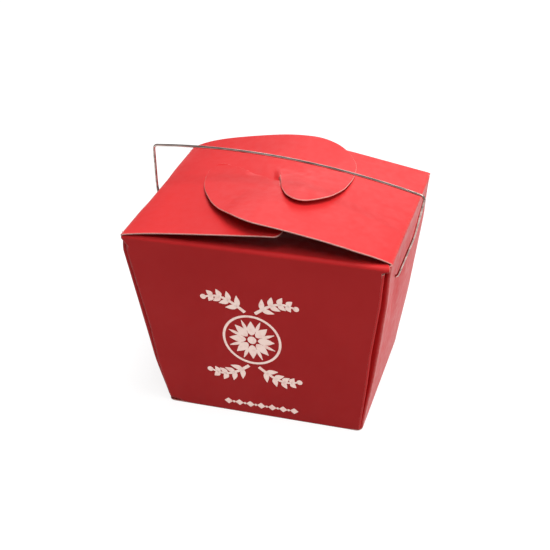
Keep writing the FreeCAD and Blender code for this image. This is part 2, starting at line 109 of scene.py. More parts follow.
# The lock: where the slits meet, and how a lobe passes from its own flap on to the other one
LOCK_REACH, LOCK_SIDE, SLIT_SLANT = 46.8, 41.9, 0.33
LOBE_START, LOBE_EDGE, LOBE_POWER = 46.0, 20.0, 1.5
LOBE_RUN, LOBE_SPREAD, LOBE_ROOT = 7.0, 0.36, 6.0
LOBE_CLEARANCE = 0.4
LIFT_START, LIFT_RUN = 48.0, 12.0
LIP_BEFORE, LIP_RUN, LIP_FADE = 2.5, 3.0, 8.0
TOE_START, TOE_RUN, TOE_END, TOE_FADE = 40.0, 10.0, 60.0, 6.0
TOE_SIDE, TOE_SIDE_FADE = 30.0, 5.0


# Meshes


def surface_normals(grid):
    """Unit normals of a grid of points: the cross product of its two directions."""
    across = np.gradient(grid, axis=0)
    along = np.gradient(grid, axis=1)
    normal = np.cross(across, along)
    return normal / np.maximum(np.linalg.norm(normal, axis=2, keepdims=True), 1e-9)


def grid_faces(columns, rows, offset=0):
    """The four-cornered faces of a grid, each facing the cross product of its two directions."""
    index = np.arange(columns * rows).reshape(columns, rows) + offset
    corners = (index[:-1, :-1], index[1:, :-1], index[1:, 1:], index[:-1, 1:])
    return np.stack([corner.ravel() for corner in corners], axis=1)


# Cut edges: how far they bulge, and the angles of the rings of points round them
RIM_BULGE = 0.14
RIM_TURNS = (math.pi / 4, 0.0, -math.pi / 4)
# The eight grid points round a hole's middle, in turn
ROUND_HOLE = np.array([(-1, -1), (0, -1), (1, -1), (1, 0), (1, 1), (0, 1), (-1, 1), (-1, 0)])


def shell(grid, above, below, hole=None):
    """A closed sheet about a grid of points.

    Its two faces lie a height above and a depth below the grid along the normals. Round the four
    rims runs a rounded cut edge: from the outer face to the inner one by half a flat ellipse, at
    right angles to the rim. A hole takes away the four faces round the grid point it names and has
    a plain cut edge. Gives the points, the faces and their kinds: 0 outside, 1 inside, 2 cut."""
    columns, rows = grid.shape[:2]
    normal = surface_normals(grid)
    count = columns * rows
    outside = grid_faces(columns, rows)
    inside = grid_faces(columns, rows, count)[:, ::-1]
    index = np.arange(count).reshape(columns, rows)
    loop = np.concatenate([index[:-1, 0], index[-1, :-1], index[:0:-1, -1], index[0, :0:-1]])
    rim_place, rim_normal = grid.reshape(-1, 3)[loop], normal.reshape(-1, 3)[loop]
    tangent = np.roll(rim_place, -1, axis=0) - np.roll(rim_place, 1, axis=0)
    outward = np.cross(tangent, rim_normal)
    outward = outward / np.maximum(np.linalg.norm(outward, axis=1, keepdims=True), 1e-9)
    turn = np.array(RIM_TURNS)[:, None, None]
    level = (above - below) / 2 + (above + below) / 2 * np.sin(turn)
    rings = rim_place + RIM_BULGE * np.cos(turn) * outward + level * rim_normal
    sheets = (grid + normal * above, grid - normal * below, rings)
    points = np.concatenate([sheet.reshape(-1, 3) for sheet in sheets])
    around = np.arange(len(loop))
    ring_levels = [2 * count + ring * len(loop) + around for ring in range(len(RIM_TURNS))]
    levels = [loop] + ring_levels + [loop + count]
    rim = np.concatenate([
        np.stack([np.roll(upper, -1), upper, lower, np.roll(lower, -1)], axis=1)
        for upper, lower in zip(levels[:-1], levels[1:])
    ])
    if hole is not None:
        column, row = hole
        outside = outside[(outside != index[hole]).all(axis=1)]
        inside = inside[(inside != count + index[hole]).all(axis=1)]
        edge = index[column + ROUND_HOLE[:, 0], row + ROUND_HOLE[:, 1]]
        after = np.roll(edge, -1)
        rim = np.concatenate([rim, np.stack([edge, after, after + count, edge + count], axis=1)])
    kinds = np.repeat([0, 1, 2], [len(outside), len(inside), len(rim)])
    return points, np.concatenate([outside, inside, rim]), kinds


def add_object(name, data):
    """An object with the given data, linked to the scene."""
    thing = bpy.data.objects.new(name, data)
    bpy.context.scene.collection.objects.link(thing)
    return thing


def make_piece(name, points, faces, kinds, materials, wear_and_highlight=None):
    """A smooth-shaded mesh object from points in millimetres.

    kinds gives each face's place in the list of materials; the last argument is a value from 0 to 1
    a point by which the coating turns pale, for wear and for painted highlights and sheen."""
    mesh = bpy.data.meshes.new(name)
    mesh.from_pydata((points * MM).tolist(), [], faces)
    for material in materials:
        mesh.materials.append(material)
    mesh.polygons.foreach_set("material_index", kinds.astype(np.int32))
    mesh.polygons.foreach_set("use_smooth", np.ones(len(kinds), bool))
    if wear_and_highlight is not None:
        # the pale share of the coating: real wear, and painted highlights and sheen
        layer = mesh.attributes.new("wear_and_highlight", "FLOAT", "POINT")
        layer.data.foreach_set("value", wear_and_highlight.astype(np.float32).ravel())
    mesh.update()
    return add_object(name, mesh)


def board_piece(name, grid, above, below, wear_and_highlight=None, hole=None):
    """A sheet of the carton's board: coated outside, a dark red inside that paints in shade, pale
    along its cut edges.
    """
    points, faces, kinds = shell(grid, above, below, hole)
    used, faces = np.unique(faces, return_inverse=True)
    if wear_and_highlight is not None:
        rim_points = len(points) - 2 * wear_and_highlight.size
        wear_and_highlight = np.concatenate([wear_and_highlight.ravel(), wear_and_highlight.ravel(), np.zeros(rim_points)])[used]
    faces = faces.reshape(-1, 4).tolist()
    materials = (coated_board, shaded_inside_board, cut_board)
    piece = make_piece(name, points[used], faces, kinds, materials, wear_and_highlight)
    mark_sharp_rims(piece)
    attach(piece, "carton")
    return piece


def mark_sharp_rims(piece):
    """Keeps the shading of faces and cut edges apart: an edge between two kinds is sharp."""
    mesh = piece.data
    kinds = np.zeros(len(mesh.polygons), np.int32)
    mesh.polygons.foreach_get("material_index", kinds)
    totals = np.zeros(len(mesh.polygons), np.int32)
    mesh.polygons.foreach_get("loop_total", totals)
    edges = np.zeros(len(mesh.loops), np.int32)
    mesh.loops.foreach_get("edge_index", edges)
    kind_of_loop = np.repeat(kinds, totals)
    low = np.full(len(mesh.edges), len(mesh.materials))
    high = np.full(len(mesh.edges), -1)
    np.minimum.at(low, edges, kind_of_loop)
    np.maximum.at(high, edges, kind_of_loop)
    mesh.edges.foreach_set("use_edge_sharp", low != high)


# Materials


def add_node(tree, kind, links=(), **settings):
    """A shader node. Settings go to its sockets by number (i0, i1, ...) or to its properties;
    links are (socket, output socket) pairs."""
    node = tree.nodes.new(kind)
    for name, value in settings.items():
        if name[0] == "i" and name[1:].isdigit():
            node.inputs[int(name[1:])].default_value = value
        else:
            setattr(node, name, value)
    for socket, source in links:
        tree.links.new(source, node.inputs[socket])
    return node


def new_material(name, colour, roughness, **more):
    """A material with a Principled shader; more sets further sockets of it by name."""
    material = bpy.data.materials.new(name)
    material.use_nodes = True
    shader = material.node_tree.nodes["Principled BSDF"]
    shader.inputs["Base Color"].default_value = (*colour, 1.0)
    shader.inputs["Roughness"].default_value = roughness
    for socket, value in more.items():
        shader.inputs[socket.replace("_", " ")].default_value = value
    return material, material.node_tree, shader


def noise(tree, scale, detail=3.0, roughness=0.5, stretch=(1.0, 1.0, 1.0)):
    """Noise on object coordinates; scale is in patches per metre."""
    place = add_node(tree, "ShaderNodeTexCoord")
    mapping = add_node(tree, "ShaderNodeMapping", [(0, place.outputs["Object"])])
    mapping.inputs["Scale"].default_value = stretch
    return add_node(
        tree, "ShaderNodeTexNoise", [("Vector", mapping.outputs[0])],
        i2=scale, i3=detail, i4=roughness,
    ).outputs["Fac"]


def ramp(tree, value, low, high, to_low=0.0, to_high=1.0):
    """A value between two limits, changed evenly into one between two others."""
    return add_node(
        tree, "ShaderNodeMapRange", [(0, value)], i1=low, i2=high, i3=to_low, i4=to_high
    ).outputs[0]


def combine(tree, operation, first, second):
    """One value from two output sockets, by an operation such as ADD."""
    links = [(0, first), (1, second)]
    return add_node(tree, "ShaderNodeMath", links, operation=operation).outputs[0]


def blend_colours(tree, share, first, second):
    """A mix of two colours; each is a colour or an output socket."""
    mix = add_node(tree, "ShaderNodeMix", data_type="RGBA")
    tree.links.new(share, mix.inputs[0])
    for socket, colour in ((6, first), (7, second)):
        if isinstance(colour, tuple):
            mix.inputs[socket].default_value = (*colour, 1.0)
        else:
            tree.links.new(colour, mix.inputs[socket])
    return mix.outputs[2]


def paint(tree, shader, share, first, second):
    """The shader's base colour: a mix of two colours."""
    tree.links.new(blend_colours(tree, share, first, second), shader.inputs["Base Color"])


def bump(tree, shader, height, strength, distance):
    """Bump from a height; distance is in metres."""
    node = add_node(tree, "ShaderNodeBump", [("Height", height)])
    node.inputs["Strength"].default_value = strength
    node.inputs["Distance"].default_value = distance
    tree.links.new(node.outputs[0], shader.inputs["Normal"])


RED = (0.86, 0.036, 0.038)
RED_DEEP = (0.80, 0.030, 0.032)
PALE_RED = (0.86, 0.30, 0.27)
PALE_EDGE = (0.88, 0.50, 0.44)
INSIDE_BOARD_SHADE = (0.50, 0.045, 0.042)
INSIDE_BOARD_SHADE_DARK = (0.42, 0.036, 0.034)
PRINT_PALE = (0.88, 0.68, 0.61)
PRINT_THIN = (0.80, 0.52, 0.46)
STEEL_LIGHT = (0.62, 0.48, 0.44)
STEEL_DARK = (0.22, 0.15, 0.13)

# The coating varies a little in broad patches, and is paler in speckles where it is worn and where
# highlights and sheen are painted
coated_board, tree, shader = new_material("coated_board", RED, 0.4, Specular_IOR_Level=0.16)
colour = blend_colours(tree, ramp(tree, noise(tree, 28.0), 0.35, 0.65), RED, RED_DEEP)
wear_and_highlight_here = add_node(tree, "ShaderNodeAttribute", attribute_name="wear_and_highlight").outputs["Fac"]
speckle = ramp(tree, noise(tree, 900.0, 4.0, 0.6), 0.38, 0.62, 0.35, 1.0)
paint(tree, shader, combine(tree, "MULTIPLY", wear_and_highlight_here, speckle), colour, PALE_RED)
sheen = ramp(tree, noise(tree, 350.0, 4.0), 0.3, 0.7, 0.36, 0.50)
tree.links.new(sheen, shader.inputs["Roughness"])
tooth = combine(tree, "ADD", noise(tree, 3500.0, 2.0), noise(tree, 120.0, 2.0))
bump(tree, shader, tooth, 0.12, 0.00008)

# the inside faces are a dark red, which paints in the shade of the gap under the lid
shaded_inside_board, tree, shader = new_material("shaded_inside_board", INSIDE_BOARD_SHADE, 0.85, Specular_IOR_Level=0.0)
fibre = noise(tree, 900.0, 4.0, 0.6, (1.0, 1.0, 0.3))
paint(tree, shader, ramp(tree, fibre, 0.3, 0.7), INSIDE_BOARD_SHADE, INSIDE_BOARD_SHADE_DARK)
bump(tree, shader, fibre, 0.2, 0.00006)

cut_board, tree, shader = new_material("cut_board", PALE_EDGE, 0.8)
grain = noise(tree, 1800.0, 3.0)
paint(tree, shader, ramp(tree, grain, 0.35, 0.65), PALE_EDGE, PALE_RED)
bump(tree, shader, grain, 0.3, 0.00005)

print_ink, tree, shader = new_material("print_ink", PRINT_PALE, 0.38, Metallic=0.8)
thin = noise(tree, 420.0, 4.0, 0.6)
paint(tree, shader, ramp(tree, thin, 0.5, 0.75), PRINT_PALE, PRINT_THIN)
bump(tree, shader, noise(tree, 3000.0, 2.0), 0.1, 0.00005)

bail_steel, tree, shader = new_material("bail_steel", STEEL_LIGHT, 0.25, Metallic=1.0)
drawn = noise(tree, 600.0, 4.0, 0.6, (0.2, 1.0, 1.0))
paint(tree, shader, ramp(tree, drawn, 0.35, 0.7), STEEL_LIGHT, STEEL_DARK)
tree.links.new(ramp(tree, drawn, 0.3, 0.7, 0.10, 0.18), shader.inputs["Roughness"])
bump(tree, shader, drawn, 0.15, 0.00004)


# Panels, corner webs and base


def smooth_step(value):
    """0 below 0, 1 above 1, and 3 v^2 - 2 v^3 between."""
    value = np.clip(value, 0.0, 1.0)
    return value * value * (3.0 - 2.0 * value)


def soft_ramp(value, roundness):
    """A soft start, near 0 below 0 and near the value above: r ln(1 + e^(v / r))."""
    return roundness * np.logaddexp(0.0, value / roundness)


def half_width(height):
    """Half the carton's width at a height, which grows evenly."""
    return HALF_BASE_WIDTH + LEAN_X * height


def half_depth(height):
    """Half the carton's depth at a height, which grows evenly."""
    return HALF_BASE_DEPTH + LEAN_Y * height


def roll_inset(radius, height):
    """How far a rolled bottom edge lies inside its panel's plane.

    It is r - sqrt(r^2 - (r - z)^2) below r, with z from the middle of the board on the floor."""
    below = np.clip(radius - height + BOARD / 2, 0.0, radius)
    return radius - np.sqrt(np.maximum(radius**2 - below**2, 0.0))


def bottom_roll(from_end, corner_roll):
    """Radius of a bottom edge: the corner's own at the panel's end, then a smooth step down."""
    at_corner = smooth_step(1.0 - from_end / CORNER_ROLL_RUN)
    return BOTTOM_ROLL + (corner_roll - BOTTOM_ROLL) * at_corner


def stand_at(height, everywhere, swell, rise, fall_start, fall):
    """The stand of a side at a height: a base value plus a swell between two smooth steps."""
    risen = smooth_step(height / rise) * (1.0 - smooth_step((height - fall_start) / fall))
    return everywhere + swell * risen


def stand_out(points):
    """The filled-out shape of the sides: they stand out from their flat planes, most at mid-height.

    A point moves sideways by the stand of its height times (x / half width)^4. The stand is a base
    value plus a swell that rises above the base and falls again below the rim. The wire holds the
    panel in, so about each hole the stand is less by PINCH times a bell of the height and of y."""
    x, y, height = points[..., 0], points[..., 1], points[..., 2]
    share = np.clip(np.abs(x) / half_width(np.minimum(height, RIM)), 0.0, 1.1) ** 4
    stand = np.where(x > 0.0, stand_at(height, *RIGHT_STAND), stand_at(height, *LEFT_STAND))
    from_hole = np.abs(y - np.where(x > 0.0, RIGHT_HOLE_Y, LEFT_HOLE_Y))
    bell = np.exp(-(((height - PINCH_HEIGHT) / PINCH_RUN) ** 2))
    bell = bell * (1.0 - smooth_step((from_hole - PINCH_HALF) / PINCH_FADE))
    moved = points.copy()
    moved[..., 0] = x + share * stand * (1.0 - PINCH * bell) * np.sign(x)
    return moved


def strip_width(height):
    """How much of a web shows beside the front panel: more up to the web's tip, then less again."""
    return np.interp(height, (0.0, WEB_TIP, RIM), (STRIP_BASE, STRIP_MIDDLE, STRIP_TOP))


def ply_step(height):
    """Distance of the folded plies: the full step, closing in towards the base."""
    return PLY_STEP - PLY_CLOSING * (1.0 - smooth_step(height / PLY_OPEN_HEIGHT))


def fold_place(height, corner_roll):
    """Middle of the fold beside the front panel, from the carton's middle."""
    corner = half_width(height) - roll_inset(corner_roll, height)
    return corner - strip_width(height) - BOARD / 2 - ply_step(height) / 2


# Rows of points up a wall: in the bottom roll, and above it
ROLL_ROWS, WALL_ROWS = 10, 54
ROLL_TOP = 3.5
ROLL_SHARES = 1.0 - np.cos(np.linspace(0.0, math.pi / 2, ROLL_ROWS))
ROLL_HEIGHTS = BOARD / 2 + (ROLL_TOP - BOARD / 2) * ROLL_SHARES


def row_heights(top):
    """Heights of a column's points: close together in the bottom roll, then even up to its top."""
    top = np.atleast_1d(top)[:, None]
    upper = ROLL_TOP + (top - ROLL_TOP) * np.linspace(0.0, 1.0, WALL_ROWS + 1)[None, 1:]
    return np.concatenate([np.repeat(ROLL_HEIGHTS[None], len(top), axis=0), upper], axis=1)


# Columns of points: of the five parts of a web's profile, from front to side, and of a side panel
PANEL_FOLD, OUTER_PLY, WEB_FOLD, INNER_PLY, SIDE_BEND = range(5)
WEB_COLUMNS = (13, 9, 11, 23, 9)
SIDE_COLUMNS = 61
# The inner ply's columns crowd towards the corner
PLY_CROWDING = 2.5


def web_columns():
    """The part of the web's profile that each column is in, and its share of it, from 0 to 1."""
    kinds, shares = [], []
    for kind, count in enumerate(WEB_COLUMNS):
        share = np.linspace(0.0, 1.0, count)[int(kind > 0):]
        shares.append(share)
        kinds.append(np.full(len(share), kind))
    kinds, shares = np.concatenate(kinds), np.concatenate(shares)
    return kinds, np.where(kinds == INNER_PLY, 1.0 - (1.0 - shares) ** PLY_CROWDING, shares)


def half_web(height, kinds, share, corner_roll):
    """Places (x, depth behind the panel's face) of the columns round one corner, front to side.

    The profile is a half turn beside the panel, the outer ply, a half turn at the web's fold, the
    inner ply and a quarter turn into the side panel; share runs from 0 to 1 along each of them.
    The inner ply dips into a crevice beside the panel's fold: 1 - smooth step of the distance."""
    corner = half_width(height) - roll_inset(corner_roll, height)
    strip, radius = strip_width(height), ply_step(height) / 2
    reach = np.minimum(height / WEB_TIP, 1.0) * (WEB_REACH - LEAST_REACH) + LEAST_REACH
    reach = reach + strip / 2
    turn = math.pi * (share - 0.5)
    fold = fold_place(height, corner_roll)
    tip = np.minimum(corner - reach + BOARD / 2 + radius, fold - LEAST_PLY)
    bend = corner - BOARD / 2 - CORNER_BEND
    half = BOARD / 2
    quarter = share * math.pi / 2
    ply = tip + (bend - tip) * share
    crevice = fold + radius
    outward, backward = (ply - crevice) / (bend - crevice), (crevice - ply) / CREVICE_BACK
    from_crevice = np.where(ply > crevice, outward, backward)
    valley = (CREVICE_BASE + CREVICE_SHARE * strip) * (1.0 - smooth_step(from_crevice))
    here = [kinds == kind for kind in (PANEL_FOLD, OUTER_PLY, WEB_FOLD, INNER_PLY, SIDE_BEND)]
    x = np.select(here, [
        fold + radius * np.cos(turn),
        fold + (tip - fold) * share,
        tip - radius * np.cos(turn),
        ply,
        bend + CORNER_BEND * np.sin(quarter),
    ])
    depth = np.select(here, [
        half + radius + radius * np.sin(turn),
        half + 2 * radius,
        half + 3 * radius + radius * np.sin(turn),
        half + 4 * radius + valley,
        half + 4 * radius + CORNER_BEND * (1.0 - np.cos(quarter)),
    ])
    return x, depth


def web_grid(kinds, shares, corner_roll):
    """The points of a front web, up to its sloping cut edge.

    The edge runs from the fold beside the panel down to the web's tip and up to the corner."""
    here = [kinds == kind for kind in (PANEL_FOLD, OUTER_PLY, WEB_FOLD, INNER_PLY)]
    from_corner = np.select(here, [
        STRIP_MIDDLE,
        STRIP_MIDDLE + shares * (WEB_REACH - STRIP_MIDDLE),
        WEB_REACH,
        WEB_REACH * (1 - shares),
    ], 0.0)
    height = row_heights(RIM - CUT_SLOPE * from_corner)
    x, depth = half_web(height, kinds[:, None], shares[:, None], corner_roll)
    y = -(half_depth(height) - roll_inset(corner_roll, height)) + depth
    return np.stack([x, y, height], axis=2)


# How far from the wire's hole the grid is drawn to it, and how soon it follows in full
HOLE_DRAW, HOLE_DRAW_GAIN = 9.0, 1.5


def draw_to_hole(y, height, hole_y):
    """Draws a side panel's grid to the wire's hole and puts eight of its points on the hole's edge.

    The draw is a smooth step of HOLE_DRAW_GAIN (1 - distance / HOLE_DRAW). Gives the new places,
    and the column and row of the point at the hole's middle."""
    row = np.abs(height[0] - HOLE_HEIGHT).argmin()
    column = np.abs(y[:, row] - hole_y).argmin()
    off_y, off_height = hole_y - y[column, row], HOLE_HEIGHT - height[column, row]
    distance = np.hypot((y - hole_y) / HOLE_DRAW, (height - HOLE_HEIGHT) / HOLE_DRAW)
    near = smooth_step(np.maximum(1.0 - distance, 0.0) * HOLE_DRAW_GAIN)
    y, height = y + off_y * near, height + off_height * near
    away_y, away_height = y - hole_y, height - HOLE_HEIGHT
    distance = np.maximum(np.hypot(away_y, away_height), 1e-6)
    on_edge = np.zeros(y.shape, bool)
    on_edge[column + ROUND_HOLE[:, 0], row + ROUND_HOLE[:, 1]] = True
    pull = np.where(on_edge, HOLE_RADIUS / distance, 1.0)
    return hole_y + away_y * pull, HOLE_HEIGHT + away_height * pull, column, row


# Side panel: a shallow valley beside and under the wire hole, and the panel bowed out a little
VALLEY_DEPTH, VALLEY_WIDTH, VALLEY_HEIGHT = 0.8, 6.0, 14.0
VALLEY_BESIDE, VALLEY_BELOW = 1.5, 6.0
PANEL_BOW = 0.35
# Painted light in the coating's colour: a painted highlight along the fold beside the front panel,
# up to the crease at the corner and over the crease's band, painted sheen fading beyond it, and
# painted light in a band below the rim
FOLD_HIGHLIGHT, BEND_HIGHLIGHT, CREASE_HIGHLIGHT, PANEL_SHEEN, TOP_LIGHT = 0.08, 0.2, 0.5, 0.17, 0.4
CREASE_BAND, PANEL_SHEEN_RUN = 1.2, 6.5
TOP_LIGHT_START, TOP_LIGHT_RUN = 66.0, 9.0


def side_wall(name, hole_y, corner_roll, mirror):
    """A side panel with its two webs: the corner profile, the panel and the corner profile again.

    The panel's x is its plane plus the bow, sin(pi z / rim) (1 - s^2), less the valley, a bell of
    the height times a bell of y."""
    kinds, shares = web_columns()
    web = web_grid(kinds, shares, corner_roll)
    last = web[-1]
    across = np.linspace(-1.0, 1.0, SIDE_COLUMNS)[1:-1, None]
    height = row_heights(np.full(SIDE_COLUMNS - 2, RIM - HINGE_LAP))
    y = -across * np.interp(height[0], last[:, 2], last[:, 1])[None]
    y, height, column, row = draw_to_hole(y, height, hole_y)
    from_end = np.abs(np.interp(height, last[:, 2], last[:, 1])) - np.abs(y)
    bow = PANEL_BOW * np.sin(math.pi * height / RIM) * (1.0 - across**2)
    valley = VALLEY_DEPTH * np.exp(-(((y - hole_y - VALLEY_BESIDE) / VALLEY_WIDTH) ** 2))
    from_valley = (height - HOLE_HEIGHT + VALLEY_BELOW) / VALLEY_HEIGHT
    valley = valley * np.exp(-(from_valley**2))
    inset = roll_inset(bottom_roll(from_end, corner_roll), height)
    x = half_width(height) - inset - BOARD / 2 + bow - valley
    panel = np.stack([x, y, height], axis=2)
    back = web[::-1] * np.array([1.0, -1.0, 1.0])
    grid = np.concatenate([web, panel, back])

    # the side's pale marks are all painted light: highlights on the two folds, sheen fading from
    # the corner, a lighter band below the rim
    fold_highlight = FOLD_HIGHLIGHT * np.sin(math.pi * shares)
    bend_highlight = BEND_HIGHLIGHT + (CREASE_HIGHLIGHT - BEND_HIGHLIGHT) * shares
    web_highlight = np.select([kinds == PANEL_FOLD, kinds == SIDE_BEND], [fold_highlight, bend_highlight], 0.0)
    web_highlight = np.repeat(web_highlight[:, None], grid.shape[1], axis=1)
    fading = PANEL_SHEEN * (1.0 - smooth_step((from_end - CREASE_BAND) / PANEL_SHEEN_RUN))
    side_highlight = np.where(from_end < CREASE_BAND, CREASE_HIGHLIGHT, fading)
    top_light = TOP_LIGHT * smooth_step((height - TOP_LIGHT_START) / TOP_LIGHT_RUN)
    wear_and_highlight = np.concatenate([web_highlight, np.maximum(side_highlight, top_light), web_highlight[::-1]])

    hole = (len(web) + column, row)
    if mirror:
        grid = (grid * np.array([-1.0, 1.0, 1.0]))[::-1]
        wear_and_highlight = wear_and_highlight[::-1]
        hole = (len(grid) - 1 - hole[0], row)
    return board_piece(name, stand_out(grid), BOARD / 2, BOARD / 2, wear_and_highlight, hole)


# Front and back panels: columns across, with one close to each cut edge, and the bow
PANEL_COLUMNS = 81
EDGE_SHARE = 0.008
FRONT_BOW = 0.4
# Ears: the panel's edge goes out to the corner below the crease, the right one only at its top
EAR_START, EAR_GAP = 72.0, 0.3
RIGHT_EAR_START = 0.75
EAR_EDGE_HIGHLIGHT = 0.9
EAR_ROWS, CREASE_ROWS, FLAP_RUN_ROWS = 8, 17, 16
# The crease keeps the ear's width at first and then widens to the dust flap's root
CREASE_WIDENING = (-0.6, 1.0)


def front_bow(share, height):
    """How far the front panel bows out: the bow times cos(pi/2 s) sin(pi z / crease level)."""
    across = FRONT_BOW * np.cos(math.pi / 2 * np.clip(share, -1.0, 1.0))
    return across * np.sin(math.pi * height / CREASE_LEVEL)


def panel_depth_and_height(across):
    """Centre line of a front panel and its dust flap, from the bottom roll to the flap's free edge.

    The panel leans outward, turns through a quarter circle and a little more over the top crease,
    and runs straight inward and down. Gives the distance from the middle and the height."""
    wall = row_heights(EAR_START)[0]
    height = np.concatenate([wall, np.linspace(EAR_START, CREASE_LEVEL, EAR_ROWS)[1:]])
    corner_roll = np.where(across > 0.0, RIGHT_CORNER_ROLL, LEFT_CORNER_ROLL)
    radius = bottom_roll((1.0 - np.abs(across)) * HALF_BASE_WIDTH, corner_roll)
    depth = half_depth(height) - roll_inset(radius, height) - BOARD / 2 + front_bow(across, height)
    centre = half_depth(CREASE_LEVEL) - ROLL_RADIUS
    middle_radius = ROLL_RADIUS - BOARD / 2
    turn = np.linspace(0.0, math.pi / 2 + DUST_DROOP, CREASE_ROWS)[1:]
    over_depth = centre + middle_radius * np.cos(turn)
    over_height = CREASE_LEVEL + middle_radius * np.sin(turn)
    run = np.linspace(0.0, DUST_LENGTH, FLAP_RUN_ROWS)[1:]
    ends = np.ones_like(across)
    flap_depth = over_depth[-1] - run * math.cos(DUST_DROOP)
    depth = np.concatenate([depth, ends * over_depth, ends * flap_depth], axis=1)
    flap_height = over_height[-1] - run * math.sin(DUST_DROOP)
    return depth, np.concatenate([height, over_height, flap_height])


def panel_half_width(corner_roll, ear_start):
    """Half width of each row: beside the fold, out along the ear, over the crease, along the flap.

    ear_start is the share of the ear's height at which it starts out to the corner."""
    wall = row_heights(EAR_START)[0]
    ear = np.linspace(0.0, 1.0, EAR_ROWS)[1:]
    out = np.clip((ear - ear_start) / (1.0 - ear_start), 0.0, 1.0)
    ear_root = fold_place(EAR_START, corner_roll)
    ear_end = half_width(CREASE_LEVEL) - EAR_GAP
    widening = smooth_step(np.linspace(*CREASE_WIDENING, CREASE_ROWS - 1))
    run = np.linspace(0.0, DUST_LENGTH, FLAP_RUN_ROWS)[1:]
    root = (DUST_ROOT - DUST_HALF) * (1.0 - smooth_step(run / DUST_ROOT_RUN))
    return np.concatenate([
        fold_place(wall, corner_roll),
        ear_root + (ear_end - ear_root) * out,
        ear_end + (DUST_ROOT - ear_end) * widening,
        DUST_HALF + root - DUST_TAPER * run / DUST_LENGTH,
    ])


def front_panel(name, back):
    """A front or back panel with its rolled crease and dust flap."""
    inner = np.linspace(-1.0, 1.0, PANEL_COLUMNS)[1:-1]
    across = np.concatenate([[-1.0, -1.0 + EDGE_SHARE], inner, [1.0 - EDGE_SHARE, 1.0]])[:, None]
    depth, height = panel_depth_and_height(across)
    left = panel_half_width(LEFT_CORNER_ROLL, 0.0)
    right = panel_half_width(RIGHT_CORNER_ROLL, RIGHT_EAR_START)
    x = across * np.where(across > 0.0, right, left)
    grid = np.stack([x, -depth, np.broadcast_to(height, depth.shape)], axis=2)
    # a painted highlight: the coating is made pale along the left ear's cut edge, where it catches
    # the light
    wear_and_highlight = np.zeros(depth.shape)
    first = ROLL_ROWS + WALL_ROWS - 1
    wear_and_highlight[0, first:first + EAR_ROWS + 2] = EAR_EDGE_HIGHLIGHT
    if back:
        grid, wear_and_highlight = (grid * np.array([1.0, -1.0, 1.0]))[::-1], wear_and_highlight[::-1]
    return board_piece(name, stand_out(grid), BOARD / 2, BOARD / 2, wear_and_highlight)


BASE_LAP = 0.1
BASE_COLUMNS, BASE_CORNER_ROWS = 33, 9


def base_panel():
    """The base: a flat sheet, its half width cut back by a quarter circle at each corner."""
    half_w = HALF_BASE_WIDTH - BOTTOM_ROLL + BASE_LAP
    half_d = HALF_BASE_DEPTH - BOTTOM_ROLL + BASE_LAP
    radius = LEFT_CORNER_ROLL - BOTTOM_ROLL
    turn = np.linspace(0.0, math.pi / 2, BASE_CORNER_ROWS)
    end = half_d - radius + radius * np.sin(turn)
    y = np.concatenate([-end[::-1], end])
    cut = radius * (1.0 - np.cos(turn))
    half = half_w - np.concatenate([cut[::-1], cut])
    x = np.linspace(1.0, -1.0, BASE_COLUMNS)[:, None] * half
    grid = np.stack([x, np.broadcast_to(y, x.shape), np.zeros(x.shape)], axis=2)
    return board_piece("base_panel", stand_out(grid), 0.0, BOARD)


# Lid flaps. Reach is the distance from a flap's hinge, and side that from its straight edge.


def edge_rise(reach, edge):
    """Rise of a flap's edge: the fold's roll, then an even slope up to a rounded crest.

    It is roll (1 - e^(-reach / HINGE_ROLL)) + slope (crest - the soft ramp of crest - reach)."""
    roll, slope, crest = edge
    reach = np.maximum(reach, 0.0)
    rolled = roll * (1.0 - np.exp(-reach / HINGE_ROLL))
    return rolled + slope * (crest - soft_ramp(crest - reach, CREST_ROUND))


def free_rise(reach, side, flap):
    """Rise of a flap by itself: its two edges' rises, mixed by (side / depth)^TWIST_POWER."""
    low, high = edge_rise(reach, flap["low"]), edge_rise(reach, flap["high"])
    return low + (high - low) * np.clip(side / (2 * HALF_TOP_DEPTH), 0.0, 1.0) ** TWIST_POWER


def lobe_share(reach, side, flap):
    """How far a flap follows the other one, from 0 to 1.

    It goes up by a smooth step beyond the start of the lobe, more slowly away from the lobe's root.
    Where the flap has a lip, its toe stays with the flap and the slit's edge is over the other flap
    at once."""
    run = LOBE_RUN + LOBE_SPREAD * np.clip(side - LOBE_EDGE - LOBE_ROOT, 0.0, None)
    share = smooth_step((reach - LOBE_START) / run) ** LOBE_POWER
    share = share * smooth_step((side - LOBE_EDGE) / LOBE_ROOT)
    past_slit = reach - LOCK_REACH - SLIT_SLANT * (LOCK_SIDE - side)
    lip = smooth_step((past_slit + LIP_BEFORE) / LIP_RUN)
    lip = lip * (1.0 - smooth_step((side - LOCK_SIDE) / LIP_FADE))
    before_slit = smooth_step((side - LOCK_SIDE + LIP_RUN) / LIP_RUN)
    lip = lip * np.where(past_slit > 0.0, 1.0, before_slit)
    on_toe = (past_slit < 0.0) & (side < LOCK_SIDE)
    return np.maximum(np.where(on_toe, share * (1.0 - flap["lip"]), share), flap["lip"] * lip)


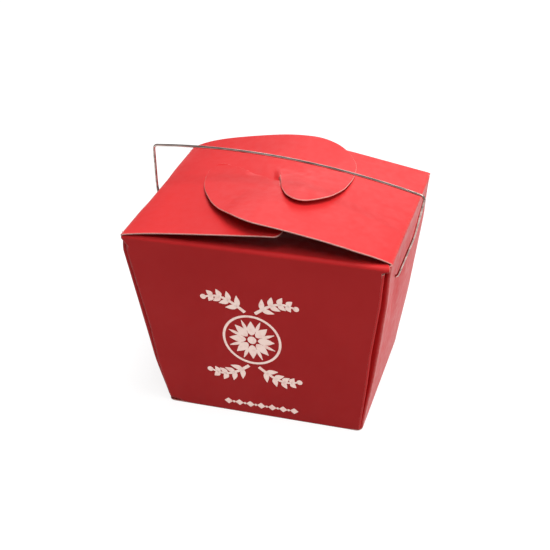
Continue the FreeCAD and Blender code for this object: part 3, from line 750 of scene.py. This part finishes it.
def lid_rise(reach, side, flap, other):
    """Rise of a flap whose lobe comes to lie on the other flap.

    Along the lobe, the flap's own rise gives way to the other flap's, with a board and a clearance
    added, and more again where the lobe's free edge stands up. A toe is tucked under the other
    flap."""
    edge_lift, lift_side, lift_width, lift_power = flap["lift"]
    lift = edge_lift * np.clip((side - lift_side) / lift_width, 0.0, 1.0) ** lift_power
    lift = lift * smooth_step((reach - LIFT_START) / LIFT_RUN)
    under = free_rise(2 * HALF_TOP_WIDTH - reach, 2 * HALF_TOP_DEPTH - side, other)
    lying = under + BOARD + LOBE_CLEARANCE + lift
    toe = smooth_step((reach - TOE_START) / TOE_RUN)
    toe = toe * (1.0 - smooth_step((reach - TOE_END) / TOE_FADE))
    tucked = flap["tuck"] * toe * (1.0 - smooth_step((side - TOE_SIDE) / TOE_SIDE_FADE))
    share = lobe_share(reach, side, flap)
    return free_rise(reach, side, flap) * (1.0 - share) + lying * share - tucked


def smooth_run(points, count):
    """Points along a smooth curve through the given ones (Catmull-Rom), evenly by chord length."""
    given = np.array(points, float)
    if len(given) == 2:
        return given[0] + (given[1] - given[0]) * np.linspace(0.0, 1.0, count)[:, None]
    before = np.concatenate([[2 * given[0] - given[1]], given, [2 * given[-1] - given[-2]]])
    steps = np.linalg.norm(np.diff(given, axis=0), axis=1)
    length = np.concatenate([[0.0], np.cumsum(steps)])
    place = np.interp(np.linspace(0.0, length[-1], count), length, np.arange(len(given)))
    piece = np.minimum(place.astype(int), len(given) - 2)
    t = (place - piece)[:, None]
    a, b, c, d = (before[piece + step] for step in range(4))
    square, cube = 2 * a - 5 * b + 4 * c - d, 3 * b - a - 3 * c + d
    return 0.5 * (2 * b + (c - a) * t + square * t**2 + cube * t**3)


# Rows of points across a flap, with one close to each cut edge
FLAP_ROWS, EDGE_ROW = 72, 0.005


def flap_edge(parts, which):
    """One edge of a flap's plan, drawn part by part."""
    runs = [smooth_run(part[which], part[2]) for part in parts]
    return np.concatenate([runs[0]] + [run[1:] for run in runs[1:]])[:, None]


def flap_grid(parts):
    """A flap's plan: straight lines from its lobe edge to its straight edge."""
    inner = np.linspace(1.0, 0.0, FLAP_ROWS - 2)[1:-1]
    share = np.concatenate([[1.0, 1.0 - EDGE_ROW], inner, [EDGE_ROW, 0.0]])[None, :, None]
    return flap_edge(parts, 0) * (1.0 - share) + flap_edge(parts, 1) * share


# Plan of each flap as (lobe edge, straight edge, columns), in x and y from the carton's middle.
# LID_Y is the flaps' half depth, less their cut edge's bulge and what their tilt adds.
LID_Y = HALF_TOP_DEPTH - RIM_BULGE - 0.09
RIGHT_PARTS = (
    (
        ((49.0, 3.0 - LID_Y), (45.0, 1.8 - LID_Y), (41.0, 0.8 - LID_Y), (37.0, 0.1 - LID_Y),
         (33.0, -LID_Y), (27.0, -LID_Y)),
        ((49.0, LID_Y), (-4.0, LID_Y)),
        50,
    ),
    (((27.0, -LID_Y), (20.0, -LID_Y)), ((-4.0, LID_Y), (-8.5, LID_Y - 1.5), (-10.0, 32.0)), 10),
    (((20.0, -LID_Y), (11.7, -LID_Y)), ((-10.0, 32.0), (-4.5, 12.0), (-0.7, 0.3)), 20),
    (
        ((11.7, -LID_Y), (4.0, -LID_Y), (-0.8, -36.9), (-5.4, -34.4), (-10.1, -31.0),
         (-16.0, -25.2), (-19.1, -21.9), (-22.4, -17.5), (-24.8, -13.5), (-27.1, -9.5),
         (-29.1, -5.0), (-30.4, -1.0), (-31.3, 3.3), (-31.8, 7.6)),
        ((-0.7, 0.3), (-5.0, 1.0), (-9.5, 3.6), (-18.7, 9.0), (-26.0, 12.9)),
        80,
    ),
    (((-31.8, 7.6), (-31.5, 10.8)), ((-26.0, 12.9), (-28.6, 13.3), (-30.5, 12.6)), 10),
)
LEFT_PARTS = (
    (((-49.0, LID_Y), (-28.0, LID_Y)), ((-49.0, -LID_Y), (6.0, -LID_Y)), 50),
    (
        ((-28.0, LID_Y), (-21.0, LID_Y)),
        ((6.0, -LID_Y), (8.0, -37.6), (9.3, -36.3), (9.8, -33.8)),
        14,
    ),
    (((-21.0, LID_Y), (-13.4, LID_Y)), ((9.8, -33.8), (-2.2, 4.0)), 24),
    (
        ((-13.4, LID_Y), (-2.0, LID_Y), (5.0, 37.6), (9.7, 37.0), (13.3, 36.1), (16.7, 34.1),
         (19.7, 30.4), (22.0, 25.4), (23.2, 19.4), (23.7, 14.1), (23.6, 8.8), (23.2, 2.7)),
        ((-2.2, 4.0), (1.2, -5.5), (3.5, -10.2), (4.9, -12.6), (7.3, -15.2), (9.6, -16.6),
         (11.5, -16.7), (13.1, -16.1), (14.7, -14.9), (17.5, -11.8), (20.2, -7.6), (22.3, -1.4)),
        80,
    ),
)
# Columns that reach down over the side panel, but not beside it
LAP_COLUMNS, LAP_INSET, LAP_FADE, LEAST_LAP = 6, 1.2, 0.5, 0.12
# Pale coating: rubbed and with a painted highlight at the fold, a painted highlight along the front
# cut edges, and torn along the end of the slits
HINGE_WEAR_AND_HIGHLIGHT, HINGE_WEAR_AND_HIGHLIGHT_RUN = 0.25, 0.8
SLIT_END = (-2.2, 4.0)
TEAR, TEAR_RUN = 0.9, 0.4


def lid_flap(name, parts, flap, other, right):
    """A lid flap. Near its hinge the plan's reach is the soft sum of a run down the side panel and
    a run in over the carton, so that the fold is round."""
    plan = flap_grid(parts)
    from_corner = HALF_TOP_DEPTH - LAP_INSET - np.abs(plan[0, :, 1])
    on_panel = np.maximum(smooth_step(from_corner / LAP_FADE), LEAST_LAP)
    lap = np.linspace(-1.0, 0.0, LAP_COLUMNS + 1)[:-1, None] * HINGE_LAP * on_panel[None]
    reach = HALF_TOP_WIDTH - plan[..., 0] if right else plan[..., 0] + HALF_TOP_WIDTH
    reach = np.concatenate([lap, reach])
    y = np.concatenate([np.repeat(plan[:1, :, 1], LAP_COLUMNS, axis=0), plan[..., 1]])
    inward, down = soft_ramp(reach, FOLD_ROUND), soft_ramp(-reach, FOLD_ROUND)
    side = HALF_TOP_DEPTH - y if right else y + HALF_TOP_DEPTH
    rise = lid_rise(inward, side, flap, other)
    x = HALF_TOP_WIDTH - inward - LEAN_X * down
    grid = np.stack([x if right else -x, y, RIM + rise - down], axis=2)
    wear_and_highlight = HINGE_WEAR_AND_HIGHLIGHT * np.exp(-((reach / HINGE_WEAR_AND_HIGHLIGHT_RUN) ** 2))
    # a painted highlight: a pale line along the front cut edges, where they catch the light
    wear_and_highlight[LAP_COLUMNS:, -1 if right else 0] = 1.0
    from_slit = plan[..., 0] - SLIT_END[0] - (SLIT_END[1] - plan[..., 1]) * SLIT_SLANT
    torn = TEAR * np.exp(-((from_slit / TEAR_RUN) ** 2)) * (np.abs(plan[..., 1]) < SLIT_END[1])
    wear_and_highlight[LAP_COLUMNS:] = np.maximum(wear_and_highlight[LAP_COLUMNS:], torn)
    return board_piece(name, stand_out(grid), 0.0, BOARD, wear_and_highlight)


# Wire bail: one bent wire in a plane through its two holes

WIRE_RADIUS, WIRE_SIDES = 0.5, 16
WIRE_BEND = 1.5
BAIL_SPAN, BAIL_RISE = 110.5, 31.3
BAIL_ARCH, BAIL_ARCH_RADIUS = 8.56, 340.0
LEG_BOW, LEG_BOW_RADIUS = 1.0, 40.0
RIGHT_STANDOFF, LEFT_STANDOFF = 0.75, 1.9
HOOK_INSET, HOOK_LENGTH = 2.9, 5.5
BAIL_LEAN = math.radians(11.5)
# Points round a bend: at least so many, and otherwise one for every two steps of its arc
LEAST_ARC_POINTS, ARC_STEP = 9, 1.2


def unit(vector):
    """A vector of length 1 in the same direction."""
    return vector / np.linalg.norm(vector)


def unit_rows(vectors):
    """Each row's vector of length 1."""
    return vectors / np.linalg.norm(vectors, axis=1, keepdims=True)


def bent_path(corners):
    """A wire's centre line in a plane: straight runs between (x, y, bend radius) corners, with each
    corner an arc that touches both runs."""
    places = np.array([corner[:2] for corner in corners], float)
    path = [places[:1]]
    for index in range(1, len(corners) - 1):
        here, radius = places[index], corners[index][2]
        back, ahead = unit(places[index - 1] - here), unit(places[index + 1] - here)
        half = math.acos(np.clip(back @ ahead, -1.0, 1.0)) / 2
        middle = unit(back + ahead)
        centre = here + middle * radius / math.sin(half)
        swing = math.pi / 2 - half
        count = max(LEAST_ARC_POINTS, int(swing * radius / ARC_STEP))
        angle = np.linspace(-swing, swing, count)[:, None]
        side = unit(back - (back @ middle) * middle)
        path.append(centre - radius * middle * np.cos(angle) - radius * side * np.sin(angle))
    path.append(places[-1:])
    return np.concatenate(path)


def bail_leg(axis_half, standoff):
    """Corners of one leg: the hook inside, the run out through the hole, the leg up to the bar."""
    foot, hook = axis_half + standoff, axis_half - HOOK_INSET
    return (
        (hook, HOOK_LENGTH, 0.0),
        (hook, 0.0, WIRE_BEND),
        (foot, 0.0, WIRE_BEND),
        ((foot + BAIL_SPAN / 2) / 2 + LEG_BOW, BAIL_RISE / 2, LEG_BOW_RADIUS),
        (BAIL_SPAN / 2, BAIL_RISE, WIRE_BEND),
    )


def wire_bail():
    """The bail: a circle carried along the bent path, standing in the plane of the swing axis."""
    hole_half = half_width(HOLE_HEIGHT)
    right = np.array([hole_half, RIGHT_HOLE_Y, HOLE_HEIGHT])
    left = np.array([-hole_half, LEFT_HOLE_Y, HOLE_HEIGHT])
    axis_half = np.linalg.norm(right - left) / 2
    axis = (right - left) / (2 * axis_half)
    behind = np.cross([0.0, 0.0, 1.0], axis)
    upward = np.array([0.0, 0.0, 1.0]) * math.cos(BAIL_LEAN) + behind * math.sin(BAIL_LEAN)
    middle = ((0.0, BAIL_RISE + BAIL_ARCH, BAIL_ARCH_RADIUS),)
    left_leg = tuple((-x, y, r) for x, y, r in bail_leg(axis_half, LEFT_STANDOFF)[::-1])
    flat = bent_path(bail_leg(axis_half, RIGHT_STANDOFF) + middle + left_leg)
    along = unit_rows(np.gradient(flat, axis=0))
    outward = np.stack([along[:, 1], -along[:, 0]], axis=1)
    across = np.cross(axis, upward)
    turn = np.linspace(0.0, 2 * math.pi, WIRE_SIDES + 1)[:-1][None, :, None]
    centre = (right + left) / 2 + flat[:, :1] * axis + flat[:, 1:] * upward
    spoke = outward[:, :1] * axis + outward[:, 1:] * upward
    ring = WIRE_RADIUS * np.cos(turn) * spoke[:, None] + WIRE_RADIUS * np.sin(turn) * across
    points = (centre[:, None] + ring).reshape(-1, 3)
    index = np.arange(len(points)).reshape(-1, WIRE_SIDES)
    after = np.roll(index, -1, axis=1)
    faces = np.stack([index[1:], after[1:], after[:-1], index[:-1]], axis=2).reshape(-1, 4)
    faces = faces.tolist() + [index[0].tolist(), index[-1][::-1].tolist()]
    piece = make_piece("wire_bail", points, faces, np.zeros(len(faces)), (bail_steel,))
    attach(piece, "handle")
    return piece


# Print on the front panel: flat ink shapes, in x and z on the panel

INK = 0.07
# A stroke is never narrower than this, so that its faces don't collapse
LEAST_INK, LEAST_PETAL = 0.03, 0.05
BLOSSOM = (-2.6, 37.0)
# Petals: where they start and end on their ray, and their half width
PETAL, NARROW_PETAL = (2.4, 8.6, 1.55), (4.6, 9.4, 0.55)
BLOSSOM_EYE = 1.6
RING_RADIUS, RING_HALF = 10.9, 0.36
# Sprays: the stem's curve and half widths, its leaves and its berry
STEM_START, STEM_RUN, STEM_RISE, STEM_ARCH, STEM_TURN = 2.0, 15.0, 12.6, 5.6, 2.2
STEM_HALF, STEM_THINNING = 0.55, 0.3
LEAF_PLACES, LEAF_TURN = (4, 9, 14, 19), 0.85
LEAF_START, LEAF_LENGTH, LEAF_SHORTENING, LEAF_HALF = 0.3, 4.8, 0.6, 0.95
BERRY, BERRY_BEYOND = 1.0, 0.6
# Row of lozenges and dots: its middle, height and step, and their sizes
ROW_MIDDLE, ROW_HEIGHT, ROW_STEP = -0.95, 4.9, 4.4
LOZENGE, ROW_DOT = (1.5, 1.35), 0.42


def on_front_face(x, height):
    """Points on the outside of the front panel."""
    y = -(half_depth(height) + front_bow(x / fold_place(height, RIGHT_CORNER_ROLL), height))
    return stand_out(np.stack([x, y, height], axis=-1))


def stroke(path, half_widths):
    """An ink stroke: a path in x and z, with a width that changes along it, laid on the panel."""
    along = unit_rows(np.gradient(path, axis=0))
    sideways = np.stack([-along[:, 1], along[:, 0]], axis=1)
    across = np.array([-1.0, 0.0, 1.0])[None, :, None]
    place = path[:, None] + across * (half_widths[:, None] * sideways)[:, None]
    return on_front_face(place[..., 0], place[..., 1])


def petal(centre, angle, start, end, width):
    """A drop along a ray: half width is the width times sin(pi t^0.7)."""
    t = np.linspace(0.0, 1.0, 15)
    reach = start + (end - start) * t
    ray = np.array([math.cos(angle), math.sin(angle)])
    half_widths = np.maximum(width * np.sin(math.pi * t**0.7), LEAST_PETAL)
    return stroke(np.array(centre) + reach[:, None] * ray, half_widths)


def dot(centre, radius):
    """A disc: the half width along a diameter is sqrt(r^2 - d^2)."""
    along = -radius * np.cos(np.linspace(0.0, math.pi, 13))
    path = np.array(centre) + along[:, None] * np.array([1.0, 0.0])
    return stroke(path, np.maximum(np.sqrt(np.maximum(radius**2 - along**2, 0.0)), LEAST_INK))


def lozenge(centre, half_length, half_height):
    """A lozenge: the half width falls evenly from the middle to both ends."""
    t = np.array([-1.0, -0.5, 0.0, 0.5, 1.0])
    path = np.array(centre) + half_length * t[:, None] * np.array([1.0, 0.0])
    return stroke(path, np.maximum(half_height * (1.0 - np.abs(t)), LEAST_INK))


def ring_line(centre, radius, half_line):
    """A thin circle, closed where its ends meet."""
    turn = np.linspace(0.0, 2 * math.pi, 65)
    path = np.array(centre) + radius * np.stack([np.cos(turn), np.sin(turn)], axis=1)
    return stroke(path, np.full(len(turn), half_line))


def spray(side, up):
    """A leafy twig: a curved stem, x = start + run t and z = rise + arch sin(turn t), with a drop
    leaf at each side of four places along it and a berry at its end.

    side and up are 1 or -1 and mirror it."""
    t = np.linspace(0.0, 1.0, 25)
    x, z = STEM_START + STEM_RUN * t, STEM_RISE + STEM_ARCH * np.sin(STEM_TURN * t)
    stem = np.array(BLOSSOM) + np.stack([x, z], axis=1) * np.array([side, up])
    pieces = [stroke(stem, STEM_HALF - STEM_THINNING * t)]
    for k, place in enumerate(LEAF_PLACES):
        lean = math.atan2(*(stem[place + 1] - stem[place - 1])[::-1])
        length = LEAF_LENGTH - LEAF_SHORTENING * k
        for turn in (LEAF_TURN, -LEAF_TURN):
            pieces.append(petal(stem[place], lean + turn, LEAF_START, length, LEAF_HALF))
    pieces.append(dot(stem[-1] + np.array([BERRY_BEYOND * side, 0.0]), BERRY))
    return pieces


def front_print():
    """A blossom in a ring between four sprays, and a row of lozenges below."""
    eighths = np.arange(8) * math.pi / 4
    pieces = [petal(BLOSSOM, angle, *PETAL) for angle in eighths]
    pieces += [petal(BLOSSOM, angle + math.pi / 8, *NARROW_PETAL) for angle in eighths]
    pieces += [dot(BLOSSOM, BLOSSOM_EYE), ring_line(BLOSSOM, RING_RADIUS, RING_HALF)]
    pieces += [part for side in (1, -1) for up in (1, -1) for part in spray(side, up)]
    for k in range(-3, 4):
        pieces.append(lozenge((ROW_MIDDLE + ROW_STEP * k, ROW_HEIGHT), *LOZENGE))
    for k in range(-3, 3):
        pieces.append(dot((ROW_MIDDLE + ROW_STEP * (k + 0.5), ROW_HEIGHT), ROW_DOT))
    shells = [shell(piece, INK, 0.0) for piece in pieces]
    starts = np.cumsum([0] + [len(points) for points, _, _ in shells[:-1]])
    points = np.concatenate([points for points, _, _ in shells])
    faces = np.concatenate([faces + start for (_, faces, _), start in zip(shells, starts)])
    kinds = np.zeros(len(faces))
    piece = make_piece("front_print", points, faces.tolist(), kinds, (print_ink,))
    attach(piece, "carton")


front = front_panel("front_panel", back=False)
front_print()
front_panel("back_panel", back=True)
side_wall("right_side_panel", RIGHT_HOLE_Y, RIGHT_CORNER_ROLL, mirror=False)
side_wall("left_side_panel", LEFT_HOLE_Y, LEFT_CORNER_ROLL, mirror=True)
base_panel()
lid_flap("right_lid_flap", RIGHT_PARTS, RIGHT_FLAP, LEFT_FLAP, right=True)
lid_flap("left_lid_flap", LEFT_PARTS, LEFT_FLAP, RIGHT_FLAP, right=False)
bail = wire_bail()
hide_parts("carton")
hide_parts("wire_handle")


# Floor, light and camera

CAMERA_PLACE = Vector((113.538, -367.096, 277.462)) * MM
CAMERA_AIM = Vector((-0.26122, 0.81471, -0.51769)).normalized()
CAMERA_ROLL = math.radians(-1.838)
FOCAL_PIXELS = 1150.0
IMAGE_PIXELS = 550.0
SENSOR = 36.0

FLOOR_REACH = 6.0
FLOOR_GREY = (0.28, 0.28, 0.28)
FLOOR_GLOW = 0.84
WHITE = (1.0, 1.0, 1.0, 1.0)
# The world's strength: for soft light, and in reflections
WORLD_LIGHT, WORLD_REFLECTED = 0.10, 0.35
# Lights: place and target in metres, side in metres, power in watts
LIGHTS = {
    "key_light": ((0.24, -0.04, 1.22), (0.0, 0.0, 0.05), 0.6, 9.8),
    "front_light": ((0.25, -0.70, 1.15), (0.0, 0.0, 0.05), 0.5, 4.0),
    "back_light": ((-0.05, 1.05, 0.72), (0.0, 0.0, 0.08), 1.0, 5.2),
    "side_light": ((1.2, 0.15, 0.25), (0.0, 0.0, 0.05), 0.7, 5.5),
}


def make_camera():
    """The camera at the photograph's place, turned about its aim by the roll."""
    data = bpy.data.cameras.new("camera")
    data.sensor_width = SENSOR
    data.lens = FOCAL_PIXELS / IMAGE_PIXELS * SENSOR
    data.clip_start, data.clip_end = 0.01, 20.0
    level = CAMERA_AIM.cross(Vector((0, 0, 1))).normalized()
    upright = level.cross(CAMERA_AIM)
    right = level * math.cos(CAMERA_ROLL) + upright * math.sin(CAMERA_ROLL)
    up = upright * math.cos(CAMERA_ROLL) - level * math.sin(CAMERA_ROLL)
    turn = Matrix((right, up, -CAMERA_AIM)).transposed()
    camera = add_object("camera", data)
    camera.matrix_world = Matrix.Translation(CAMERA_PLACE) @ turn.to_4x4()
    bpy.context.scene.camera = camera


def make_area_light(name, place, target, size, power):
    """A square soft light at a place, facing a target."""
    data = bpy.data.lights.new(name, "AREA")
    data.size, data.energy = size, power
    light = add_object(name, data)
    light.location = place
    light.rotation_mode = "QUATERNION"
    light.rotation_quaternion = (Vector(target) - Vector(place)).to_track_quat("-Z", "Y")


def make_floor():
    """A pale floor that shows white to the camera where nothing shades it."""
    material, tree, shader = new_material(
        "floor", FLOOR_GREY, 0.9, Specular_IOR_Level=0.0, Emission_Color=WHITE
    )
    path = add_node(tree, "ShaderNodeLightPath")
    seen = combine(tree, "MAXIMUM", path.outputs["Is Camera Ray"], path.outputs["Is Glossy Ray"])
    glow = add_node(tree, "ShaderNodeMath", [(0, seen)], operation="MULTIPLY", i1=FLOOR_GLOW)
    tree.links.new(glow.outputs[0], shader.inputs["Emission Strength"])
    corners = [(-1.0, -1.0), (1.0, -1.0), (1.0, 1.0), (-1.0, 1.0)]
    mesh = bpy.data.meshes.new("floor")
    places = [(FLOOR_REACH * x, FLOOR_REACH * y, 0.0) for x, y in corners]
    mesh.from_pydata(places, [], [(0, 1, 2, 3)])
    mesh.materials.append(material)
    floor = add_object("floor", mesh)


def make_world():
    """Even soft light: white where the camera looks past the floor, a light grey in reflections."""
    world = bpy.data.worlds.new("studio")
    bpy.context.scene.world = world
    world.use_nodes = True
    tree = world.node_tree
    background = tree.nodes["Background"]
    background.inputs["Color"].default_value = WHITE
    path = add_node(tree, "ShaderNodeLightPath")
    glossy = ramp(tree, path.outputs["Is Glossy Ray"], 0.0, 1.0, WORLD_LIGHT, WORLD_REFLECTED)
    seen = combine(tree, "MAXIMUM", path.outputs["Is Camera Ray"], glossy)
    tree.links.new(seen, background.inputs["Strength"])


make_camera()
make_floor()
make_world()
for name, settings in LIGHTS.items():
    make_area_light(name, *settings)
bpy.context.scene.view_settings.view_transform = "Standard"
